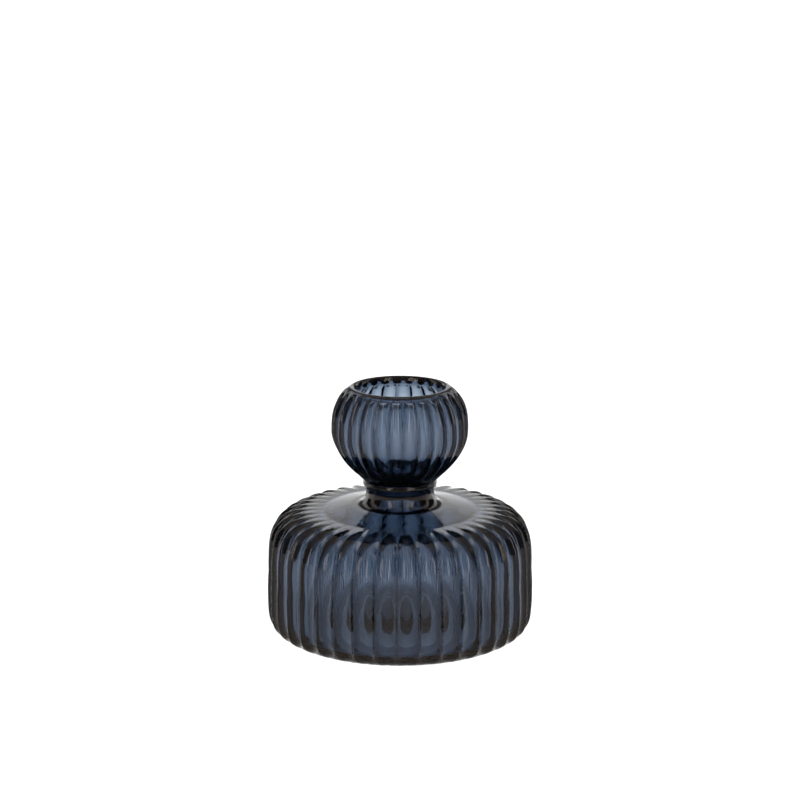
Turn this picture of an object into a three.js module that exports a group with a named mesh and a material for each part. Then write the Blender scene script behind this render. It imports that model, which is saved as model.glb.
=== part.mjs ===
// Squat bud vase of dark blue glass: a wide drum of a body with a low sloping shoulder,
// a short smooth neck with a collar round it, and a ball on top that opens as the mouth.
// The drum and the ball carry vertical flutes, hollow scoops that meet in sharp ridges.
// Millimetres, +Z up. The origin is the middle of the foot, on the surface it stands on.

import * as THREE from "three";

// Body: the outline runs over the ridges of the flutes.
const bodyDiameter = 105;
const bodyHeight = 48.2; // to where the shoulder's slope begins
const wallTaper = 0.35; // how much smaller the radius is at the top of the wall
const footDiameter = 73.6;
const footRingWidth = 3.6;
const footRecess = 0.8; // hollow under the base, so that it stands on a ring
const footCornerHeight = 19;
const footCornerPower = 5; // 2 is a plain ellipse, and more is squarer
const shoulderInset = 22.2;
const shoulderRise = 24.4;
const shoulderPower = 3.5;
const shoulderSlope = 0.2; // rise for each millimetre towards the neck
const bodyWall = 3.6; // measured at the ridges, as are the next two
const shoulderWall = 3.4;
const baseThickness = 3.2;
const innerShoulderInset = 21.4;
const throatRounding = 4; // where the shoulder's underside turns up into the neck
const moundHeight = 3.4; // the base is thicker in the middle
const moundTopRadius = 15;
const moundFootRadius = 21;

// Neck and collar.
const neckDiameter = 26.5;
const neckHeight = 7.8; // from the foot of its flare to the underside of the collar
const neckFlare = 5.4; // how far the flare runs out over the shoulder
const neckBore = 17;
const collarDiameter = 29.2;
const collarHeight = 1.6;
const collarEdge = 0.45; // rounding of the collar's two edges
const glassJoint = 0.3; // gap kept between two sections of glass that meet

// Ball: the outline runs over the ridges of the flutes.
const ballDiameter = 53.6;
const ballSeatDiameter = 28.6; // where it meets the collar
const ballLowerDepth = 24.2; // from its widest line down to the pole it curves towards
const ballLowerPower = 1.7;
const ballUpperRise = 21.4;
const ballUpperPower = 2.68;
const ballSeatHeight = 19.72; // from the collar to the widest line
const coveHeight = 3.8; // hollow curve between the seat and the ball
const ballWall = 3.2;
const mouthDiameter = 34.6;
const lipWidth = 3.1; // the lip is rounded from here on the outside
const lipDrop = 2.2; // to here on the inside, measured down from there

// Flutes: each one is the track of a round cutter.
const bodyFlutes = 40;
const bodyTurn = -1.2; // degrees from the front to the nearest ridge
const bodyFluteCutter = 5.2;
const bodyFluteFootFade = 5; // height over which they die out at the foot
const bodyFluteInnerEnd = 30; // radius where they die out on the shoulder
const bodyFluteFullDepth = 46; // radius where they have their full depth
const ballFlutes = 28;
const ballTurn = 3.1;
const ballFluteCutter = 3.8;
const ballFluteLowFade = 3.5;
const ballFluteTopEnd = 19.8; // radius where they die out below the lip
const ballFluteTopFull = 23.5;

const glass = { color: 0x1c2a3c, roughness: 0.05, metalness: 0 };

// Points along one quarter of a rounded square, measured from its centre.
function roundedQuarter(centre, width, height, power, from, to, steps) {
  const points = [];
  for (let i = 0; i <= steps; i++) {
    const turn = THREE.MathUtils.degToRad(from + ((to - from) * i) / steps);
    const across = Math.abs(Math.cos(turn)) ** (2 / power);
    const along = Math.sign(turn) * Math.abs(Math.sin(turn)) ** (2 / power);
    points.push(new THREE.Vector2(centre.x + width * across, centre.y + height * along));
  }
  return points;
}

// Points along a curve that leaves one point and reaches another, both on tangents that
// meet at the corner.
function bend(from, corner, to, steps) {
  return new THREE.QuadraticBezierCurve(from, corner, to).getPoints(steps);
}

// The turn, in degrees, at which a rounded quarter has the given distance from its axis.
function turnAtRadius(radius, width, power) {
  return THREE.MathUtils.radToDeg(Math.acos((radius / width) ** (power / 2)));
}

// The turn at which it has the given height above its centre.
function turnAtHeight(height, fullHeight, power) {
  const turn = Math.asin((Math.abs(height) / fullHeight) ** (power / 2));
  return Math.sign(height) * THREE.MathUtils.radToDeg(turn);
}

// Full depth of a flute: the cutter's round reaches the ridges on both of its sides.
function fluteDepth(radius, count, cutter) {
  const halfPitch = (Math.PI * radius) / count;
  return cutter - Math.sqrt(Math.max(cutter ** 2 - halfPitch ** 2, 0));
}

// The bottom line of a flute: each point of the outline, moved inwards by its depth there.
function valleyOf(outline, depthAt) {
  return outline.map((point, i) => {
    const before = outline[Math.max(i - 1, 0)];
    const after = outline[Math.min(i + 1, outline.length - 1)];
    const along = after.clone().sub(before).normalize();
    const depth = depthAt(point);
    return new THREE.Vector2(point.x - along.y * depth, point.y + along.x * depth);
  });
}

// A turned solid whose outer wall steps in and out between ridge and valley. The inner
// outline is smooth, and follows the outer one back to where that began.
function flutedSolid(name, outer, valley, inner, count, turn) {
  const ridgeLine = [...outer, ...inner];
  const valleyLine = [...valley, ...inner];
  const segments = 2 * count;
  const start = THREE.MathUtils.degToRad(turn);
  const shape = new THREE.LatheGeometry(ridgeLine, segments, start);
  const position = shape.getAttribute("position");
  for (let i = 1; i < segments; i += 2) {
    const angle = start + (i / segments) * 2 * Math.PI;
    valleyLine.forEach((point, j) => {
      const at = i * valleyLine.length + j;
      position.setXYZ(at, point.x * Math.sin(angle), point.y, point.x * Math.cos(angle));
    });
  }
  return standing(name, shape);
}

// Turns a solid made about Y so that it stands along Z, and gives it the glass.
function standing(name, shape) {
  shape.rotateX(Math.PI / 2);
  const mesh = new THREE.Mesh(shape, new THREE.MeshStandardMaterial(glass));
  mesh.name = name;
  return mesh;
}

// Heights of the stack, from the floor up.
const footCornerRadius = footDiameter / 2;
const bodyRadius = bodyDiameter / 2;
const wallTopRadius = bodyRadius - wallTaper;
const wallTopHeight = bodyHeight - shoulderRise;
const slopeRadius = wallTopRadius - shoulderInset;
const neckRadius = neckDiameter / 2;
const boreRadius = neckBore / 2;
const neckFootRadius = neckRadius + neckFlare;
const neckFootHeight = bodyHeight + (slopeRadius - neckFootRadius) * shoulderSlope;
const neckTop = neckFootHeight + neckHeight;
const collarBottom = neckTop + glassJoint;
const collarTop = collarBottom + collarHeight;
const ballBottom = collarTop + glassJoint;
const ballCentre = ballBottom + ballSeatHeight;

// Body: base, wall, shoulder and neck in one section of glass.
function flutedBody() {
  const recessRadius = footCornerRadius - footRingWidth;
  const shoulderEnd = new THREE.Vector2(neckFootRadius, neckFootHeight);
  const flareCorner = new THREE.Vector2(neckRadius, neckFootHeight);
  const neckWaist = new THREE.Vector2(neckRadius, neckTop - neckHeight / 5);
  const outer = [
    new THREE.Vector2(0, footRecess),
    new THREE.Vector2(recessRadius - 2 * footRecess, footRecess),
    new THREE.Vector2(recessRadius, 0),
    ...roundedQuarter(
      new THREE.Vector2(footCornerRadius, footCornerHeight),
      bodyRadius - footCornerRadius,
      footCornerHeight,
      footCornerPower,
      -90,
      0,
      7,
    ),
    ...roundedQuarter(
      new THREE.Vector2(slopeRadius, wallTopHeight),
      shoulderInset,
      shoulderRise,
      shoulderPower,
      0,
      90,
      8,
    ),
    new THREE.Vector2((slopeRadius + neckFootRadius) / 2, (bodyHeight + neckFootHeight) / 2),
    ...bend(shoulderEnd, flareCorner, neckWaist, 4),
    new THREE.Vector2(neckRadius, neckTop),
  ];
  const valley = valleyOf(outer, (point) => {
    const foot = THREE.MathUtils.smoothstep(point.y, 0, bodyFluteFootFade);
    const shoulder = THREE.MathUtils.smoothstep(point.x, bodyFluteInnerEnd, bodyFluteFullDepth);
    return foot * shoulder * fluteDepth(point.x, bodyFlutes, bodyFluteCutter);
  });
  const ceilingHeight = bodyHeight - shoulderWall;
  const innerRadius = wallTopRadius - bodyWall;
  const ceilingRadius = innerRadius - innerShoulderInset;
  const throatRadius = boreRadius + throatRounding;
  const throatHeight = ceilingHeight + (ceilingRadius - throatRadius) * shoulderSlope;
  const moundTop = baseThickness + moundHeight;
  const moundMiddle = new THREE.Vector2(
    (moundTopRadius + moundFootRadius) / 2,
    baseThickness + moundHeight / 2,
  );
  const inner = [
    new THREE.Vector2(boreRadius, neckTop),
    ...bend(
      new THREE.Vector2(boreRadius, throatHeight + throatRounding),
      new THREE.Vector2(boreRadius, throatHeight),
      new THREE.Vector2(throatRadius, throatHeight),
      4,
    ),
    ...roundedQuarter(
      new THREE.Vector2(ceilingRadius, wallTopHeight),
      innerShoulderInset,
      ceilingHeight - wallTopHeight,
      shoulderPower,
      90,
      0,
      8,
    ),
    ...roundedQuarter(
      new THREE.Vector2(footCornerRadius, footCornerHeight),
      innerRadius - footCornerRadius,
      footCornerHeight - baseThickness,
      footCornerPower,
      0,
      -90,
      7,
    ),
    ...bend(
      new THREE.Vector2(moundFootRadius, baseThickness),
      new THREE.Vector2(moundMiddle.x, baseThickness),
      moundMiddle,
      2,
    ),
    ...bend(
      moundMiddle,
      new THREE.Vector2(moundMiddle.x, moundTop),
      new THREE.Vector2(moundTopRadius, moundTop),
      2,
    ).slice(1),
    new THREE.Vector2(0, moundTop),
  ];
  return flutedSolid("fluted_body", outer, valley, inner, bodyFlutes, bodyTurn);
}

// Collar: a low bead of glass round the top of the neck, where the ball was joined on.
function neckCollar() {
  const radius = collarDiameter / 2;
  const profile = [
    new THREE.Vector2(boreRadius, collarBottom),
    new THREE.Vector2(radius - collarEdge, collarBottom),
    new THREE.Vector2(radius, collarBottom + collarEdge),
    new THREE.Vector2(radius, collarTop - collarEdge),
    new THREE.Vector2(radius - collarEdge, collarTop),
    new THREE.Vector2(boreRadius, collarTop),
    new THREE.Vector2(boreRadius, collarBottom),
  ];
  return standing("neck_collar", new THREE.LatheGeometry(profile, 2 * ballFlutes));
}

// Ball: a hollow round cup, open into the neck below and at the mouth above.
function flutedBall() {
  const radius = ballDiameter / 2;
  const seatRadius = ballSeatDiameter / 2;
  const centre = new THREE.Vector2(0, ballCentre);
  const coveTop = coveHeight - ballSeatHeight;
  const coveTurn = turnAtHeight(coveTop, ballLowerDepth, ballLowerPower);
  const lower = roundedQuarter(centre, radius, ballLowerDepth, ballLowerPower, coveTurn, 0, 7);
  const slope = lower[1].clone().sub(lower[0]);
  const coveCorner = lower[0].y - ((lower[0].x - seatRadius) * slope.y) / slope.x;
  const mouthRadius = mouthDiameter / 2;
  const lipTurn = turnAtRadius(mouthRadius + lipWidth, radius, ballUpperPower);
  const upper = roundedQuarter(centre, radius, ballUpperRise, ballUpperPower, 0, lipTurn, 7);
  const lipStart = upper[upper.length - 1];
  const lipEnd = new THREE.Vector2(mouthRadius, lipStart.y - lipDrop);
  const lipSlope = lipStart.clone().sub(upper[upper.length - 2]);
  const lipCorner = lipStart.y + ((mouthRadius - lipStart.x) * lipSlope.y) / lipSlope.x;
  const outer = [
    new THREE.Vector2(seatRadius, ballBottom),
    ...bend(
      new THREE.Vector2(seatRadius, ballBottom + coveHeight / 10),
      new THREE.Vector2(seatRadius, coveCorner),
      lower[0],
      3,
    ),
    ...lower.slice(1),
    ...upper.slice(1),
    ...bend(lipStart, new THREE.Vector2(mouthRadius, lipCorner), lipEnd, 4).slice(1),
  ];
  const valley = valleyOf(outer, (point) => {
    const flutesStart = ballBottom + coveHeight * 0.8;
    const low = THREE.MathUtils.smoothstep(point.y, flutesStart, flutesStart + ballFluteLowFade);
    const above = point.y > ballCentre;
    const high = above ? THREE.MathUtils.smoothstep(point.x, ballFluteTopEnd, ballFluteTopFull) : 1;
    return low * high * fluteDepth(point.x, ballFlutes, ballFluteCutter);
  });
  const innerRadius = radius - ballWall;
  const innerRise = ballUpperRise - ballWall;
  const innerDepth = ballLowerDepth - ballWall;
  const mouthTurn = turnAtRadius(mouthRadius, innerRadius, ballUpperPower);
  const boreTurn = -turnAtRadius(boreRadius, innerRadius, ballLowerPower);
  const inner = [
    ...roundedQuarter(centre, innerRadius, innerRise, ballUpperPower, mouthTurn, 0, 5),
    ...roundedQuarter(centre, innerRadius, innerDepth, ballLowerPower, 0, boreTurn, 6).slice(1),
    new THREE.Vector2(boreRadius, ballBottom),
    outer[0].clone(),
  ];
  return flutedSolid("fluted_ball", outer, valley, inner, ballFlutes, ballTurn);
}

const vase = new THREE.Group();
vase.add(flutedBody(), neckCollar(), flutedBall());

export default vase;
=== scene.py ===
import math
import random

import bpy
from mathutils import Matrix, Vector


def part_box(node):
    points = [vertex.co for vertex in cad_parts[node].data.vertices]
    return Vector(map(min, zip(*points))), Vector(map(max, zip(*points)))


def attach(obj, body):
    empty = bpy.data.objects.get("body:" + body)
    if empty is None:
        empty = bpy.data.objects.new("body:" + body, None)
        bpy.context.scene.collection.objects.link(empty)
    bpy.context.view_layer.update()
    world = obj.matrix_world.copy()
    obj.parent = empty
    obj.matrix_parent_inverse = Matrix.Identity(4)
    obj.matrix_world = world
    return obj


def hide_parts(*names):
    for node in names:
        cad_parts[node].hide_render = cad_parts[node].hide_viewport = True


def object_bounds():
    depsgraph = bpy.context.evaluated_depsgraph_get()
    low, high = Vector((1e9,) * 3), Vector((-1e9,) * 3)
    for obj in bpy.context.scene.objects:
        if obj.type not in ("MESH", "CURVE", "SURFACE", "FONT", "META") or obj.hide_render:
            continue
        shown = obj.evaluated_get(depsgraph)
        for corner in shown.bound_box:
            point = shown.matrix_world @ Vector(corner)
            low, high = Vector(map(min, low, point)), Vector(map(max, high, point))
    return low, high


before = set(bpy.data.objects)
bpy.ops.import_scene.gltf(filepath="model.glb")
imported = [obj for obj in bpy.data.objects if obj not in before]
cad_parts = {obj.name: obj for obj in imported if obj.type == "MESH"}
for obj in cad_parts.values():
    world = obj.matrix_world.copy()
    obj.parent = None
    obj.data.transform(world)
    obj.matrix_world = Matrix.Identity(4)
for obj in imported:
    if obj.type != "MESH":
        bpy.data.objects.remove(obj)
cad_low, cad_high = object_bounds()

# ---- Foot and drum -----------------------------------------------------------------
# The lower part is one wide, squat drum of dark blue glass, blown into a ribbed mould.
# It stands on a narrow ring, and its low sloping shoulder turns smooth near the neck.
MM = 0.001
_, drum_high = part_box("fluted_body")
DRUM_RADIUS = 52.5
DRUM_HEIGHT = 48.2
WALL_TAPER = 0.35
FOOT_RADIUS = 36.8
FOOT_RING_WIDTH = 3.6
FOOT_RECESS = 0.8
FOOT_CORNER_HEIGHT = 19.0
FOOT_CORNER_POWER = 5  # 2 is a plain ellipse, and more is squarer
RECESS_MIDDLE = 8.0  # the level middle of the underside is closed with one fan
SHOULDER_INSET = 22.2
SHOULDER_RISE = 24.4
SHOULDER_POWER = 3.5
SHOULDER_SLOPE = 0.2  # rise for each millimetre towards the neck
SMOOTH_RADIUS = 24.0
NECK_RADIUS = 13.25
NECK_FLARE = 5.4
NECK_TOP = drum_high.z / MM


def oval_quarter(middle, width, height, power, start, end, steps=300):
    """Part of a rounded square, between two angles; a power of 2 is a plain ellipse."""
    line = []
    for i in range(steps + 1):
        turn = math.radians(start + (end - start) * i / steps)
        across = abs(math.cos(turn)) ** (2 / power)
        along = math.copysign(abs(math.sin(turn)) ** (2 / power), turn)
        line.append((middle[0] + width * across, middle[1] + height * along))
    return line


def bend(start, corner, end, steps=40):
    """A smooth bend between two points, pulled towards a corner."""
    line = []
    for i in range(steps + 1):
        t = i / steps
        a, b, c = (1 - t) ** 2, 2 * t * (1 - t), t * t
        line.append(
            (
                a * start[0] + b * corner[0] + c * end[0],
                a * start[1] + b * corner[1] + c * end[1],
            )
        )
    return line


def spaced(line, step):
    """The same line, with its points at equal steps."""
    run = [0.0]
    for a, b in zip(line, line[1:]):
        run.append(run[-1] + math.dist(a, b))
    count = max(1, round(run[-1] / step))
    points = []
    k = 0
    for i in range(count + 1):
        goal = run[-1] * i / count
        while k < len(run) - 2 and run[k + 1] < goal:
            k += 1
        t = (goal - run[k]) / ((run[k + 1] - run[k]) or 1)
        a, b = line[k], line[k + 1]
        points.append((a[0] + (b[0] - a[0]) * t, a[1] + (b[1] - a[1]) * t))
    return points


def ease(value, low, high):
    t = min(max((value - low) / (high - low), 0), 1)
    return t * t * (3 - 2 * t)


outside = []


def draw(line, step, flutes=""):
    """Adds a line to the outside of the glass, and says which flutes are cut in it."""
    for point in spaced(line, step):
        if not outside or math.dist(outside[-1][:2], point) > 0.03:
            outside.append((point[0], point[1], flutes))


ring_inside = FOOT_RADIUS - FOOT_RING_WIDTH
wall_top = (DRUM_RADIUS - WALL_TAPER, DRUM_HEIGHT - SHOULDER_RISE)
slope_radius = wall_top[0] - SHOULDER_INSET
flare_foot = (
    NECK_RADIUS + NECK_FLARE,
    DRUM_HEIGHT + (slope_radius - NECK_RADIUS - NECK_FLARE) * SHOULDER_SLOPE,
)
recess_edge = ring_inside - 2 * FOOT_RECESS
ring_lip = (ring_inside, 0.3)
ring_start = (ring_inside + 0.7, 0)
draw([(RECESS_MIDDLE, FOOT_RECESS), (recess_edge, FOOT_RECESS)], 7)
draw(bend((recess_edge, FOOT_RECESS), (ring_inside - 0.5, FOOT_RECESS), ring_lip), 0.6)
draw(bend(ring_lip, (ring_inside + 0.15, 0), ring_start), 0.3)
draw([ring_start, (FOOT_RADIUS, 0)], 1.6)
corner = oval_quarter(
    (FOOT_RADIUS, FOOT_CORNER_HEIGHT),
    DRUM_RADIUS - FOOT_RADIUS,
    FOOT_CORNER_HEIGHT,
    FOOT_CORNER_POWER,
    -90,
    0,
)
draw(corner, 0.95, "drum")
draw([corner[-1], wall_top], 1.6, "drum")
draw(
    oval_quarter(
        (slope_radius, wall_top[1]), SHOULDER_INSET, SHOULDER_RISE, SHOULDER_POWER, 0, 90
    ),
    0.85,
    "drum",
)
plain_edge = (SMOOTH_RADIUS, DRUM_HEIGHT + (slope_radius - SMOOTH_RADIUS) * SHOULDER_SLOPE)
draw([(slope_radius, DRUM_HEIGHT), plain_edge], 0.9, "drum")
draw([plain_edge, flare_foot], 1.5)

# ---- Neck and collar ----------------------------------------------------------------
# A short plain neck rises out of the shoulder in a soft flare. The glass is thick here,
# and a rounded bead runs round it where the ball was joined on while both were hot.
collar_low, collar_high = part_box("neck_collar")
COLLAR_RADIUS = collar_high.x / MM
COLLAR_MIDDLE = (collar_low.z + collar_high.z) / 2 / MM
NECK_STRAIGHT = 2.0  # plain height below the bead
BEAD_FILLET = 0.75
neck_waist = (NECK_RADIUS, NECK_TOP - NECK_STRAIGHT)
bead_foot = (NECK_RADIUS + BEAD_FILLET, NECK_TOP + 0.05)
bead_crown = (COLLAR_RADIUS, COLLAR_MIDDLE)
draw(bend(flare_foot, (NECK_RADIUS, flare_foot[1]), neck_waist), 0.7)
draw(bend(neck_waist, (NECK_RADIUS, NECK_TOP - 0.9), bead_foot), 0.4)
draw(bend(bead_foot, (COLLAR_RADIUS + 0.02, NECK_TOP + 0.4), bead_crown), 0.22)

# ---- Ball and lip -------------------------------------------------------------------
# The ball is the cup of the vase. It has its own, finer flutes, which stop below a smooth
# rounded lip. The lip was melted smooth, so that it has no edge anywhere.
ball_low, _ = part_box("fluted_ball")
BALL_RADIUS = 26.8
BALL_SEAT_RADIUS = 14.3
BALL_FOOT = ball_low.z / MM
BALL_SEAT_HEIGHT = 19.72
BALL_MIDDLE = BALL_FOOT + BALL_SEAT_HEIGHT
BALL_DEPTH = 24.2
BALL_LOWER_POWER = 1.7
BALL_RISE = 21.4
BALL_UPPER_POWER = 2.68
COVE_HEIGHT = 3.8
MOUTH_RADIUS = 17.3
LIP_WIDTH = 3.1
LIP_DROP = 2.2
seat = (BALL_SEAT_RADIUS, BALL_FOOT + 0.15)
draw(bend(bead_crown, (COLLAR_RADIUS, BALL_FOOT - 0.6), seat), 0.22)
cove_turn = -math.degrees(
    math.asin(((BALL_MIDDLE - BALL_FOOT - COVE_HEIGHT) / BALL_DEPTH) ** (BALL_LOWER_POWER / 2))
)
belly = oval_quarter(
    (0, BALL_MIDDLE), BALL_RADIUS, BALL_DEPTH, BALL_LOWER_POWER, cove_turn, 0
)
slope = (belly[1][1] - belly[0][1]) / (belly[1][0] - belly[0][0])
cove_corner = (seat[0], belly[0][1] - (belly[0][0] - seat[0]) * slope)
draw(bend(seat, cove_corner, belly[0]), 0.5, "ball")
draw(belly, 0.85, "ball")
lip_turn = math.degrees(
    math.acos(((MOUTH_RADIUS + LIP_WIDTH) / BALL_RADIUS) ** (BALL_UPPER_POWER / 2))
)
crown = oval_quarter(
    (0, BALL_MIDDLE), BALL_RADIUS, BALL_RISE, BALL_UPPER_POWER, 0, lip_turn
)
draw(crown, 0.8, "ball")
slope = (crown[-1][1] - crown[-2][1]) / (crown[-1][0] - crown[-2][0])
lip_corner = (MOUTH_RADIUS, crown[-1][1] + (MOUTH_RADIUS - crown[-1][0]) * slope)
lip_end = (MOUTH_RADIUS, crown[-1][1] - LIP_DROP)
draw(bend(crown[-1], lip_corner, lip_end), 0.4)

# ---- Hollow -------------------------------------------------------------------------
# Inside, the glass is smooth, because it was only pressed against air. The hollow runs
# from the mouth through the neck into the drum, and the base is thicker in the middle.
BALL_WALL = 3.2
BORE_RADIUS = 8.5
BORE_BLEND = 3.0  # height over which the cup's floor turns down into the bore
DRUM_WALL = 3.6
SHOULDER_THICKNESS = 3.4
HOLLOW_SHOULDER_INSET = 21.4
BASE_THICKNESS = 3.2
MOUND_HEIGHT = 3.4
MOUND_TOP = 15.0
MOUND_FOOT = 21.0
THROAT_ROUNDING = 4.0
cup_radius = BALL_RADIUS - BALL_WALL
cup_turn = math.degrees(math.acos((MOUTH_RADIUS / cup_radius) ** (BALL_UPPER_POWER / 2)))
bore_turn = -math.degrees(math.acos((BORE_RADIUS / cup_radius) ** (BALL_LOWER_POWER / 2)))
cup = oval_quarter(
    (0, BALL_MIDDLE), cup_radius, BALL_RISE - BALL_WALL, BALL_UPPER_POWER, cup_turn, 0
)
cup += oval_quarter(
    (0, BALL_MIDDLE), cup_radius, BALL_DEPTH - BALL_WALL, BALL_LOWER_POWER, 0, bore_turn
)[1:-12]
ceiling = DRUM_HEIGHT - SHOULDER_THICKNESS
hollow_radius = wall_top[0] - DRUM_WALL
bore_top = (BORE_RADIUS, cup[-1][1] - BORE_BLEND)
throat_height = ceiling + SHOULDER_SLOPE * (
    hollow_radius - HOLLOW_SHOULDER_INSET - BORE_RADIUS - THROAT_ROUNDING
)
bore_end = (BORE_RADIUS, throat_height + THROAT_ROUNDING)
throat = (BORE_RADIUS + THROAT_ROUNDING, throat_height)
hollow_shoulder = oval_quarter(
    (hollow_radius - HOLLOW_SHOULDER_INSET, wall_top[1]),
    HOLLOW_SHOULDER_INSET,
    ceiling - wall_top[1],
    SHOULDER_POWER,
    90,
    0,
)
hollow_corner = oval_quarter(
    (FOOT_RADIUS, FOOT_CORNER_HEIGHT),
    hollow_radius - FOOT_RADIUS,
    FOOT_CORNER_HEIGHT - BASE_THICKNESS,
    FOOT_CORNER_POWER,
    0,
    -90,
)
inside = spaced([lip_end] + cup, 1.0)[1:]
inside += spaced(bend(cup[-1], (BORE_RADIUS, cup[-1][1] - 0.8), bore_top), 0.6)[1:]
inside += spaced([bore_top, bore_end], 3)[1:]
inside += spaced(bend(bore_end, (BORE_RADIUS, throat_height), throat), 0.7)[1:]
inside += spaced([throat, hollow_shoulder[0]], 4)[1:]
inside += spaced(hollow_shoulder, 1.1)[1:]
inside += spaced([hollow_shoulder[-1]] + hollow_corner, 1.1)[1:]
mound_top = (MOUND_TOP, BASE_THICKNESS + MOUND_HEIGHT)
mound_side = ((MOUND_TOP + MOUND_FOOT) / 2, BASE_THICKNESS + MOUND_HEIGHT / 2)
inside += spaced([hollow_corner[-1], (MOUND_FOOT, BASE_THICKNESS)], 3)[1:]
mound_hem = bend((MOUND_FOOT, BASE_THICKNESS), (mound_side[0], BASE_THICKNESS), mound_side)
inside += spaced(mound_hem, 0.5)[1:]
inside += spaced(bend(mound_side, (mound_side[0], mound_top[1]), mound_top), 0.5)[1:]
inside += spaced([mound_top, (RECESS_MIDDLE, mound_top[1])], 5)[1:]

# ---- Flutes and the one skin of glass -----------------------------------------------
# Each flute is a round hollow, as a ball-nosed cutter leaves in the mould, and two of them
# meet in a ridge that the fire has softened. No two are quite alike in a moulded piece.
chance = random.Random(7)
CUT_SHARES = (0, 0.03, 0.075, 0.14, 0.23, 0.36, 0.5, 0.64, 0.77, 0.86, 0.925, 0.97)
RIDGE_SOFTNESS = 0.1  # how far from its line a ridge is rounded
EDGE_SOFTNESS = 0.03
DRUM_FLUTES = 40
DRUM_TURN = -1.2
DRUM_CUTTER = 5.2
DRUM_FLUTE_FADE = 5  # height over which they die out at the foot
DRUM_FLUTE_END = 30  # radius where they die out on the shoulder
DRUM_FLUTE_FULL = 46  # radius where they have their full depth
BALL_FLUTES = 28
BALL_TURN = 3.1
BALL_CUTTER = 3.8
BALL_FLUTE_START = 2.4  # above the ball's foot
BALL_FLUTE_WHOLE = 6.5
BALL_FLUTE_END = 19.8
BALL_FLUTE_FULL = 23.5
PLAIN_COLUMNS = 160


def ridge_angles(count, turn, unevenness=0.04):
    """Angles of the ridges, from the front, each a little off its even place."""
    step = 2 * math.pi / count
    return [
        math.radians(turn) + step * (k + chance.uniform(-unevenness, unevenness))
        for k in range(count)
    ]


def columns(ridges):
    """For each column of points: its angle, its flute, and its place across it."""
    found = []
    for k, start in enumerate(ridges):
        end = ridges[k + 1] if k + 1 < len(ridges) else ridges[0] + 2 * math.pi
        found += [(start + (end - start) * share, k, share, end - start) for share in CUT_SHARES]
    return found


def cut_depth(share, half, cutter, strength):
    """Depth of a flute at a share of its width, where the whole width is 2 * half."""
    from_ridge = 2 * half * min(share, 1 - share)
    rounded = math.hypot(from_ridge, RIDGE_SOFTNESS) - RIDGE_SOFTNESS
    rounded *= half / (math.hypot(half, RIDGE_SOFTNESS) - RIDGE_SOFTNESS)
    sagitta = cutter - math.sqrt(cutter**2 - half**2)
    rise = cutter - math.sqrt(cutter**2 - (half - rounded) ** 2)
    depth = strength * sagitta - rise
    return (depth + math.hypot(depth, 2 * EDGE_SOFTNESS)) / 2


plain = [(2 * math.pi * k / PLAIN_COLUMNS, 0, 0, 0) for k in range(PLAIN_COLUMNS)]
cuts = {
    "": (plain, DRUM_CUTTER, [1]),
    "drum": (
        columns(ridge_angles(DRUM_FLUTES, DRUM_TURN)),
        DRUM_CUTTER,
        [chance.uniform(0.88, 1) for _ in range(DRUM_FLUTES)],
    ),
    "ball": (
        columns(ridge_angles(BALL_FLUTES, BALL_TURN)),
        BALL_CUTTER,
        [chance.uniform(0.93, 1) for _ in range(BALL_FLUTES)],
    ),
}
points = []
faces = []


def ring(radii, heights, angles):
    """Adds one ring of points, and gives their angles and numbers."""
    first = len(points)
    for radius, height, angle in zip(radii, heights, angles):
        points.append((radius * math.sin(angle) * MM, -radius * math.cos(angle) * MM, height * MM))
    return [(angle, first + i) for i, angle in enumerate(angles)]


def join(low, high):
    """Closes the band between two rings, also where one has more points."""
    n, m = len(low), len(high)
    if n == m:
        for i in range(n):
            k = (i + 1) % n
            faces.append((low[i][1], low[k][1], high[k][1], high[i][1]))
        return
    full = 2 * math.pi
    apart = [abs((angle - low[0][0] + math.pi) % full - math.pi) for angle, _ in high]
    offset = apart.index(min(apart))

    def along(some, k, first):
        if k == len(some):
            return full
        return (some[(first + k) % len(some)][0] - some[first][0]) % full

    i = j = 0
    while i < n or j < m:
        if j == m or (i < n and along(low, i + 1, 0) <= along(high, j + 1, offset)):
            faces.append((low[i][1], low[(i + 1) % n][1], high[(offset + j) % m][1]))
            i += 1
        else:
            faces.append((low[i % n][1], high[(offset + j + 1) % m][1], high[(offset + j) % m][1]))
            j += 1


rings = []
for k, (radius, height, flutes) in enumerate(outside):
    before, after = outside[max(k - 1, 0)], outside[min(k + 1, len(outside) - 1)]
    length = math.dist(before[:2], after[:2])
    inward = (-(after[1] - before[1]) / length, (after[0] - before[0]) / length)
    strength = 0
    if flutes == "drum":
        strength = ease(height, 0, DRUM_FLUTE_FADE) * ease(radius, DRUM_FLUTE_END, DRUM_FLUTE_FULL)
    if flutes == "ball":
        strength = ease(height, BALL_FOOT + BALL_FLUTE_START, BALL_FOOT + BALL_FLUTE_WHOLE)
        if height > BALL_MIDDLE:
            strength *= ease(radius, BALL_FLUTE_END, BALL_FLUTE_FULL)
    across, cutter, bites = cuts[flutes]
    depths = [
        cut_depth(share, radius * width / 2, cutter, strength * bites[flute]) if strength else 0
        for _, flute, share, width in across
    ]
    rings.append(
        ring(
            [radius + inward[0] * depth for depth in depths],
            [height + inward[1] * depth for depth in depths],
            [column[0] for column in across],
        )
    )
round_angles = [column[0] for column in plain]
for radius, height in inside:
    rings.append(ring([radius] * PLAIN_COLUMNS, [height] * PLAIN_COLUMNS, round_angles))
for low, high in zip(rings, rings[1:]):
    join(low, high)
for edge, height, order in ((rings[0], FOOT_RECESS, -1), (rings[-1], mound_top[1], 1)):
    middle = len(points)
    points.append((0, 0, height * MM))
    for i in range(len(edge)):
        pair = (edge[i][1], edge[(i + 1) % len(edge)][1])[::order]
        faces.append((middle, *pair))
skin = bpy.data.meshes.new("vase_glass")
skin.from_pydata(points, [], faces)
skin.shade_smooth()
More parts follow.
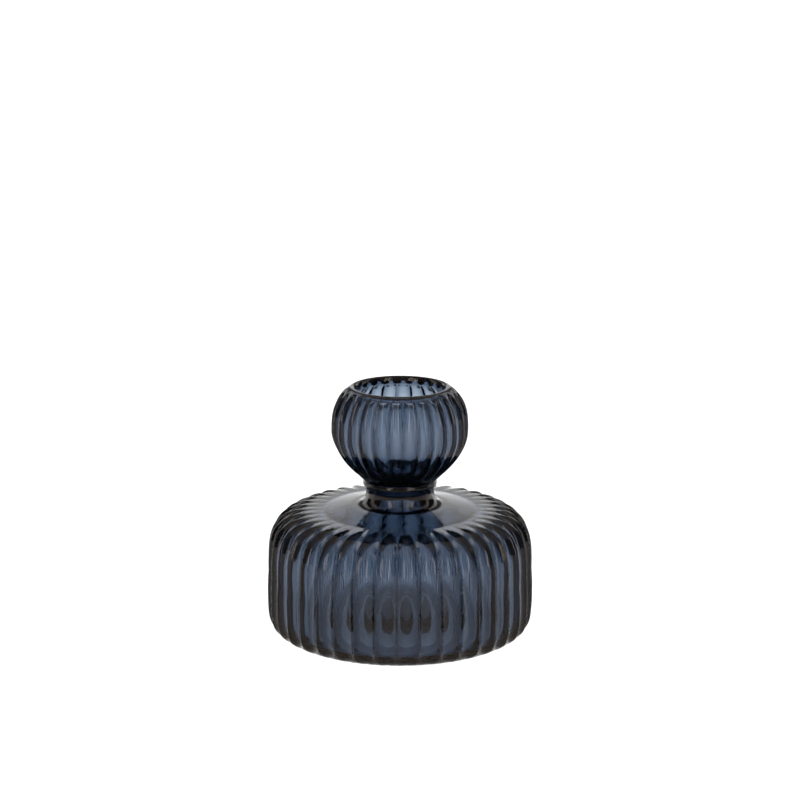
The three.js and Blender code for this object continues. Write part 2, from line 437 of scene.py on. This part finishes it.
vase = bpy.data.objects.new("vase_glass", skin)
bpy.context.scene.collection.objects.link(vase)


class Wire:
    """An output of a node, which can be calculated with like a number."""

    def __init__(self, tree, socket=None):
        self.tree = tree
        self.socket = socket

    def node(self, kind, settings, sockets, output=0):
        """Adds a node with these settings, sockets set or linked, and gives an output."""
        made = self.tree.nodes.new(kind)
        for name, value in settings.items():
            setattr(made, name, value)
        for name, value in sockets.items():
            if isinstance(value, Wire):
                self.tree.links.new(value.socket, made.inputs[name])
            else:
                made.inputs[name].default_value = value
        return Wire(self.tree, made.outputs[output])

    def math(self, operation, a, b):
        return self.node("ShaderNodeMath", {"operation": operation}, {0: a, 1: b})

    def __add__(self, other):
        return self.math("ADD", self, other)

    __radd__ = __add__

    def __sub__(self, other):
        return self.math("SUBTRACT", self, other)

    def __rsub__(self, other):
        return self.math("SUBTRACT", other, self)

    def __mul__(self, other):
        return self.math("MULTIPLY", self, other)

    __rmul__ = __mul__

    def rise(self, low, high):
        """0 below low, 1 above high, with a soft change between them."""
        ends = {"Value": self, "From Min": low, "From Max": high}
        return self.node("ShaderNodeMapRange", {"interpolation_type": "SMOOTHSTEP"}, ends)


# The glass takes up most of the light on its way through, red first. Its surface is
# fire-bright, with the faint upright ripple of a mould, and the underside is stippled.
GLASS_TINT = (0.26, 0.355, 0.465, 1)
TINT_DENSITY = 650
RIPPLE_STRETCH = 0.12
STIPPLE_TOP = 1.0 * MM
blue_glass = bpy.data.materials.new("blue_glass")
blue_glass.use_nodes = True
glass = blue_glass.node_tree
surface = glass.nodes["Principled BSDF"]
surface.inputs["IOR"].default_value = 1.5
surface.inputs["Transmission Weight"].default_value = 1
# Painted reflection colour: the specular tint gives every reflection on the glass a warm brownish
# cast, standing in for warmer room light than the white room lit here.
surface.inputs["Specular Tint"].default_value = (0.72, 0.63, 0.56, 1)
wire = Wire(glass)
place = wire.node("ShaderNodeTexCoord", {}, {}, 3)
upright = wire.node(
    "ShaderNodeVectorMath", {"operation": "MULTIPLY"}, {0: place, 1: (1, 1, RIPPLE_STRETCH)}
)
facing = wire.node("ShaderNodeNewGeometry", {}, {}, 1)
level = wire.node("ShaderNodeSeparateXYZ", {}, {0: facing}, 2)
level = wire.node("ShaderNodeMath", {"operation": "ABSOLUTE"}, {0: level})
height = wire.node("ShaderNodeSeparateXYZ", {}, {0: place}, 2)
ripple = wire.node("ShaderNodeTexNoise", {}, {"Vector": upright, "Scale": 260, "Detail": 1})
chill = wire.node("ShaderNodeTexNoise", {}, {"Vector": place, "Scale": 420, "Detail": 2})
relief = ripple * (1 - 0.85 * level.rise(0.5, 0.9)) + 0.12 * chill
bump = wire.node("ShaderNodeBump", {}, {"Height": relief, "Strength": 0.8, "Distance": 0.3 * MM})
glass.links.new(bump.socket, surface.inputs["Normal"])
stipple = 1 - height.rise(0.9 * STIPPLE_TOP, 1.1 * STIPPLE_TOP)
rough = 0.015 * chill + 0.45 * stipple
glass.links.new(rough.socket, surface.inputs["Roughness"])
cords = wire.node(
    "ShaderNodeMix",
    {"data_type": "RGBA"},
    {0: ripple.rise(0.35, 0.65), 6: (0.9, 0.94, 0.98, 1), 7: (1, 1, 1, 1)},
    2,
)
glass.links.new(cords.socket, surface.inputs["Base Color"])
tint = wire.node(
    "ShaderNodeVolumeAbsorption", {}, {"Color": GLASS_TINT, "Density": TINT_DENSITY}
)
glass.links.new(tint.socket, glass.nodes["Material Output"].inputs["Volume"])
skin.materials.append(blue_glass)
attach(vase, "root")
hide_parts("fluted_body", "neck_collar", "fluted_ball")

# ---- Table --------------------------------------------------------------------------
# The vase stands on a plain white light table, which is not part of it. The glow from
# below keeps its shadow faint and sends light up through the base.
TABLE_REACH = 6.0
TABLE_GLOW = 0.9
TABLE_CLEARANCE = 0.02 * MM
top = bpy.data.meshes.new("light_table")
top.from_pydata(
    [
        (-TABLE_REACH, -TABLE_REACH, 0),
        (TABLE_REACH, -TABLE_REACH, 0),
        (TABLE_REACH, TABLE_REACH, 0),
        (-TABLE_REACH, TABLE_REACH, 0),
    ],
    [],
    [(0, 1, 2, 3)],
)
table = bpy.data.objects.new("light_table", top)
table.location.z = cad_low.z - TABLE_CLEARANCE
bpy.context.scene.collection.objects.link(table)
table_white = bpy.data.materials.new("table_white")
table_white.use_nodes = True
lit = table_white.node_tree.nodes["Principled BSDF"]
lit.inputs["Base Color"].default_value = (0.2, 0.2, 0.2, 1)
lit.inputs["Roughness"].default_value = 0.8
lit.inputs["Emission Color"].default_value = (1, 1, 1, 1)
lit.inputs["Emission Strength"].default_value = TABLE_GLOW
top.materials.append(table_white)

# ---- Room light ---------------------------------------------------------------------
# Soft white panels stand behind and at both sides, with dark gaps between them that draw
# the flutes. Two narrow soft boxes stand at the camera's left and right.
PANELS = (  # degrees round from straight behind the vase, and strength
    (0, 1.0),
    (10, 1.0),
    (15, 0.2),
    (25, 0.2),
    (30, 1.2),
    (45, 1.2),
    (50, 0.1),
    (65, 0.1),
    (70, 1.3),
    (85, 1.3),
    (92, 0.15),
    (134, 0.35),
    (139, 3.2),
    (152, 3.2),
    (158, 0.5),
    (180, 0.5),
)
OVERHEAD = 0.8
OVERHEAD_START, OVERHEAD_FULL = 0.6, 0.8
room = bpy.data.worlds.new("studio_room")
room.use_nodes = True
bpy.context.scene.world = room
air = Wire(room.node_tree)
towards = air.node("ShaderNodeTexCoord", {}, {})
across, ahead, up = (air.node("ShaderNodeSeparateXYZ", {}, {0: towards}, k) for k in range(3))
across = air.node("ShaderNodeMath", {"operation": "ABSOLUTE"}, {0: across})
round_the_room = air.math("ARCTAN2", across, ahead) * (180 / math.pi)
light = PANELS[0][1]
for (start, before), (end, after) in zip(PANELS, PANELS[1:]):
    if after != before:
        light = light + (after - before) * round_the_room.rise(start, end)
light = light + (OVERHEAD - light) * up.rise(OVERHEAD_START, OVERHEAD_FULL)
backdrop = room.node_tree.nodes["Background"]
backdrop.inputs["Color"].default_value = (1, 1, 1, 1)
room.node_tree.links.new(light.socket, backdrop.inputs["Strength"])
bpy.context.scene.view_settings.view_transform = "Standard"
bpy.context.scene.view_settings.look = "Medium High Contrast"

# ---- Camera -------------------------------------------------------------------------
# It stands well back and looks down a little, so that the shoulder is a thin oval and the
# far side of the lip shows above the near one. The vase sits low in the frame.
CAMERA_LIFT = math.radians(16.13)
CAMERA_DISTANCE = 782.25 * MM
AIM_HEIGHT = 49.54 * MM
AIM_RAISE = math.radians(3.04)
LENS = 89.34
camera = bpy.data.objects.new("camera", bpy.data.cameras.new("camera"))
bpy.context.scene.collection.objects.link(camera)
bpy.context.scene.camera = camera
camera.location = (
    0,
    -CAMERA_DISTANCE * math.cos(CAMERA_LIFT),
    AIM_HEIGHT + CAMERA_DISTANCE * math.sin(CAMERA_LIFT),
)
camera.rotation_euler = (math.pi / 2 - CAMERA_LIFT + AIM_RAISE, 0, 0)
camera.data.sensor_width = 36
camera.data.lens = LENS
camera.data.clip_start = 0.01
